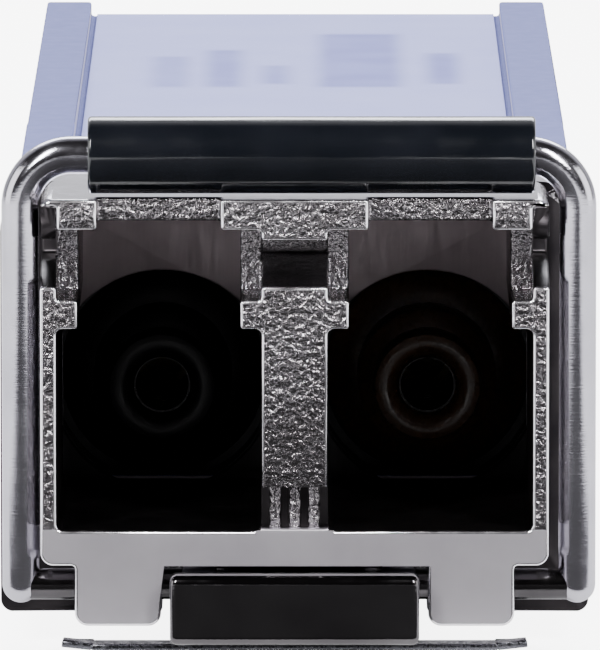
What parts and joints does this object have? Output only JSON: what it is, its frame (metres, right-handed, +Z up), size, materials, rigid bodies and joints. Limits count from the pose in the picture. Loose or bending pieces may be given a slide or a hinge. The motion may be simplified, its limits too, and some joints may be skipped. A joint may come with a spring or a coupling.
{
  "type": "optical transceiver module",
  "caption": "Pluggable optical transceiver: nickel-plated die-cast body, twin optical ports in the nose, swinging wire bail with a black sleeve, and a rocking cage latch underneath.",
  "frame": {"origin": "on the centre plane, at the positive stop where the module meets the cage mouth, level with the flat underside of the body", "axes": "+X across to the receive port's side, +Y from the cage mouth into the cage, +Z up from the latch side to the label side"},
  "size_m": [0.0139, 0.0574, 0.0126],
  "materials": {
    "nickel_casting": "nickel-plated die casting, fine pebbled grain",
    "black_screw_steel": "machined steel",
    "label_foil": "satin printed film",
    "spring_steel": "bright rolled sheet",
    "bright_wire": "polished plated wire",
    "black_sleeve": "glossy black tube",
    "polished_steel": "polished steel",
    "dark_sheet": "rolled sheet steel",
    "shield_sheet": "dull dark sheet",
    "black_polymer": "moulded",
    "zirconia": "polished dark ceramic",
    "gold_can": "dull gold plating",
    "lens_glass": "polished",
    "gold_plate": "gold plated",
    "amber_film": "polyimide film",
    "amber_polymer": "translucent amber moulding",
    "solder_mask": "solder mask over weave",
    "chip_epoxy": "moulded epoxy",
    "ceramic_tan": "fired ceramic",
    "ferrite": "sintered ferrite",
    "thermal_pad": "soft silicone pad"
  },
  "bodies": {
    "body": {"housing": "nickel_casting", "bottom_cover": "nickel_casting", "cover_screws": "black_screw_steel", "top_label": "label_foil", "emi_collar": "spring_steel", "latch_pin": "spring_steel", "latch_spring": "spring_steel", "osa_shield": "shield_sheet", "osa_holder": "black_polymer", "transmit_barrel": "black_polymer", "transmit_sleeve": "zirconia", "transmit_can": "gold_can", "transmit_lens": "lens_glass", "laser_submount": "gold_plate", "transmit_pins": "gold_plate", "transmit_flex": "amber_film", "receive_barrel": "amber_polymer", "receive_sleeve": "zirconia", "receive_can": "gold_can", "receive_lens": "lens_glass", "photodiode_submount": "gold_plate", "receive_pins": "gold_plate", "receive_flex": "amber_film", "circuit_board": "solder_mask", "edge_contacts": "gold_plate", "driver_chip": "chip_epoxy", "amplifier_chip": "chip_epoxy", "controller_chip": "chip_epoxy", "memory_chip": "chip_epoxy", "chip_capacitors": "ceramic_tan", "chip_resistors": "chip_epoxy", "power_inductors": "ferrite", "thermal_pad": "thermal_pad"},
    "bail": {"bail_wire": "bright_wire", "bail_sleeve": "black_sleeve"},
    "latch": {"latch_lever": "polished_steel", "tab_plate": "dark_sheet"}
  },
  "joints": [
    {"name": "bail_swing", "type": "hinge", "parent": "body", "child": "bail", "pos_m": [0, -0.00815, 0.00105], "axis": [1, 0, 0], "range_deg": [0, 90]},
    {"name": "latch_rock", "type": "hinge", "parent": "body", "child": "latch", "pos_m": [0, -0.0025, 0.00061], "axis": [1, 0, 0], "range_deg": [0, 5.5], "deforming": ["latch_spring"]}
  ],
  "couplings": [
    {"joint": "latch_rock", "follows": "bail_swing", "ratio": 0.06111}
  ]
}
